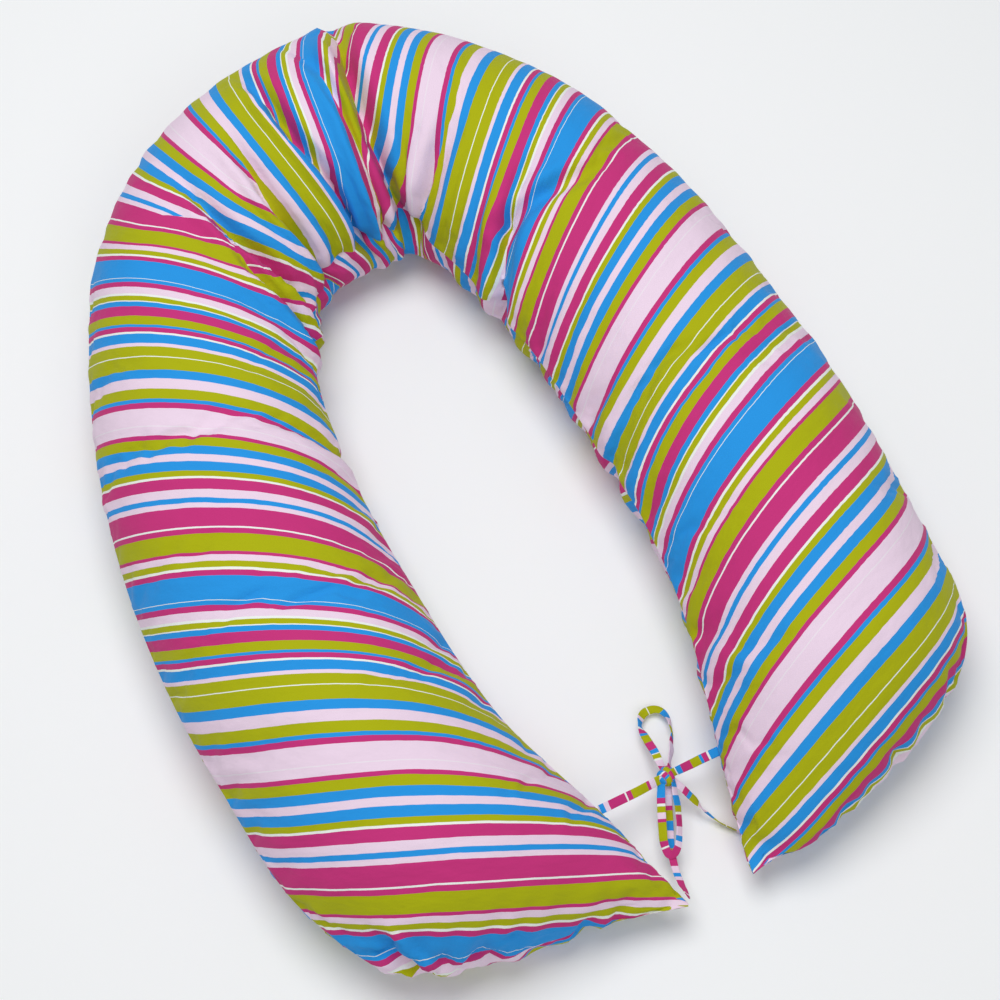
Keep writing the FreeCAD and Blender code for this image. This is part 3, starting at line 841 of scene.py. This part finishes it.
def make_band(name, route, faces, print_at, far_end):
    points = centre_line(name, route)
    ahead = np.gradient(points, axis=0)
    step = np.linalg.norm(np.diff(points, axis=0), axis=1)
    travel = np.concatenate([[0], np.cumsum(step)])
    width = BAND_WIDTH[name]
    outline = band_outline(width)
    facing = np.array(faces, float)
    number, at, way = print_at
    grid = np.zeros((len(points), len(outline) + 1, 3))
    cloth_map = np.zeros((len(points), len(outline) + 1, 2))
    waver = ripple(travel / MM, len(name) * 3 + len(route), 40, 14, 6)
    for i, (point, direction) in enumerate(zip(points, ahead)):
        share = travel[i] / travel[-1] * (len(facing) - 1)
        face = [np.interp(share, range(len(facing)), facing[:, k]) for k in range(3)]
        direction = direction / np.linalg.norm(direction)
        side = np.cross(direction, face)
        side = side / np.linalg.norm(side)
        face = np.cross(side, direction)
        for j, (across, thick) in enumerate(outline + outline[:1]):
            curl = 0.35 * waver[i] * MM * (across / (width / 2 * MM)) ** 2
            grid[i, j] = point + side * across + face * (thick + curl)
            cloth_map[i, j] = (across / MM + 40, stripe_start(number) + way * (travel[i] / MM - at))
    piece = grid_mesh(name + "_band", grid / MM, cloth_map, -1)
    edit = bmesh.new()
    edit.from_mesh(piece.data)
    bmesh.ops.holes_fill(edit, edges=[edge for edge in edit.edges if edge.is_boundary])
    bmesh.ops.recalc_face_normals(edit, faces=edit.faces)
    edit.to_mesh(piece.data)
    edit.free()
    piece.data.materials.append(tie_cotton)
    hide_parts(name)
    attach(piece, "left_arm" if name == "tie_left" else "right_arm")


for name, band in BANDS.items():
    make_band(name, *band)

KNOT_CENTRE = (146.0, -325.0, 36.0)
KNOT_RADII = (9.0, 10.0, 8.0)


def make_knot():
    """The bow's knot: band wrapped slantwise round the crossing, its turns showing as ridges."""
    rings, spokes = 40, 64
    grid = np.zeros((rings + 1, spokes + 1, 3))
    cloth_map = np.zeros((rings + 1, spokes + 1, 2))
    for i in range(rings + 1):
        down = math.pi * i / rings
        for j in range(spokes + 1):
            turn = 2 * math.pi * (j % spokes) / spokes
            x, y, z = math.sin(down) * math.cos(turn), math.sin(down) * math.sin(turn), math.cos(down)
            slant = 2.3 * (0.8 * x + 0.9 * y - 0.35 * z) + 0.4
            ridge = abs(math.sin(slant * math.pi * 0.55))
            size = 0.90 + 0.12 * ridge ** 0.6 - 0.05 * math.sin(3 * turn + 1) * math.sin(down)
            grid[i, j] = [c + r * size * d for c, r, d in zip(KNOT_CENTRE, KNOT_RADII, (x, y, z))]
            print_at = 11 * (0.8 * x - 0.9 * y) + 14 * math.floor(slant * 0.55)
            cloth_map[i, j] = (8 * z, print_at + stripe_start(17))
    piece = grid_mesh("bow_knot_wrap", grid, cloth_map, -1)
    piece.data.materials.append(tie_cotton)
    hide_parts("bow_knot")
    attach(piece, "right_arm")


make_knot()

# ---------------------------------------------------------------- zip
ZIP_MATERIALS = {
    "zip_tape": woven("zip_tape_cloth", (0.80, 0.72, 0.78), 1400.0),
    "zip_coil": woven("zip_coil_nylon", (0.82, 0.80, 0.82), 2500.0),
    "zip_metal": metal(),
}
for node, material in (("zip_tape_upper", "zip_tape"), ("zip_tape_lower", "zip_tape"),
                       ("zip_coil_upper", "zip_coil"), ("zip_coil_lower", "zip_coil"),
                       ("zip_top_stop", "zip_metal"), ("zip_bottom_stop", "zip_metal"),
                       ("zip_slider", "zip_metal"), ("zip_pull", "zip_metal")):
    for material_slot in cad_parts[node].material_slots:
        material_slot.material = ZIP_MATERIALS[material]

# ---------------------------------------------------------------- floor, light and camera
bpy.ops.mesh.primitive_plane_add(size=14, location=(0, 0, 0))
floor = bpy.context.object
floor.name = "floor"
floor_material, nodes, links, shader = new_material("floor_paper", Roughness=0.9, Specular_IOR_Level=0.2)
place = nodes.new("ShaderNodeTexCoord").outputs["Object"]
tint = nodes.new("ShaderNodeValToRGB")
tint.color_ramp.elements[0].color = (0.92, 0.93, 0.935, 1)
tint.color_ramp.elements[1].color = (0.94, 0.95, 0.955, 1)
links.new(noise(nodes, links, place, 1.2, 3.0), tint.inputs["Fac"])
links.new(tint.outputs["Color"], shader.inputs["Base Color"])
floor.data.materials.append(floor_material)


def area_light(name, place, target, size, power):
    light = bpy.data.lights.new(name, "AREA")
    light.shape = "DISK"
    light.size = size
    light.energy = power
    lamp = bpy.data.objects.new(name, light)
    lamp.location = place
    lamp.rotation_euler = (Vector(target) - Vector(place)).to_track_quat("-Z", "Y").to_euler()
    bpy.context.scene.collection.objects.link(lamp)
    return lamp


key_light = area_light("key_light", (-0.4, 0.5, 3.0), (0, 0, 0), 2.1, 57)
front_light = area_light("front_light", (0.7, -2.0, 2.4), (0, 0, 0), 1.8, 13)

world = bpy.data.worlds.new("studio")
world.use_nodes = True
world.node_tree.nodes["Background"].inputs["Color"].default_value = (0.96, 0.98, 1.0, 1)
world.node_tree.nodes["Background"].inputs["Strength"].default_value = 0.35
bpy.context.scene.world = world
bpy.context.scene.view_settings.view_transform = "Standard"

TARGET = Vector((-0.015, -0.041, 0.060))
DISTANCE = 2.1
ELEVATION = math.radians(65)
camera_data = bpy.data.cameras.new("camera")
camera_data.lens = 74.4
camera_data.sensor_width = 36
camera = bpy.data.objects.new("camera", camera_data)
camera.location = TARGET + Vector((0, -math.cos(ELEVATION), math.sin(ELEVATION))) * DISTANCE
camera.rotation_euler = (TARGET - camera.location).to_track_quat("-Z", "Y").to_euler()
bpy.context.scene.collection.objects.link(camera)
bpy.context.scene.camera = camera
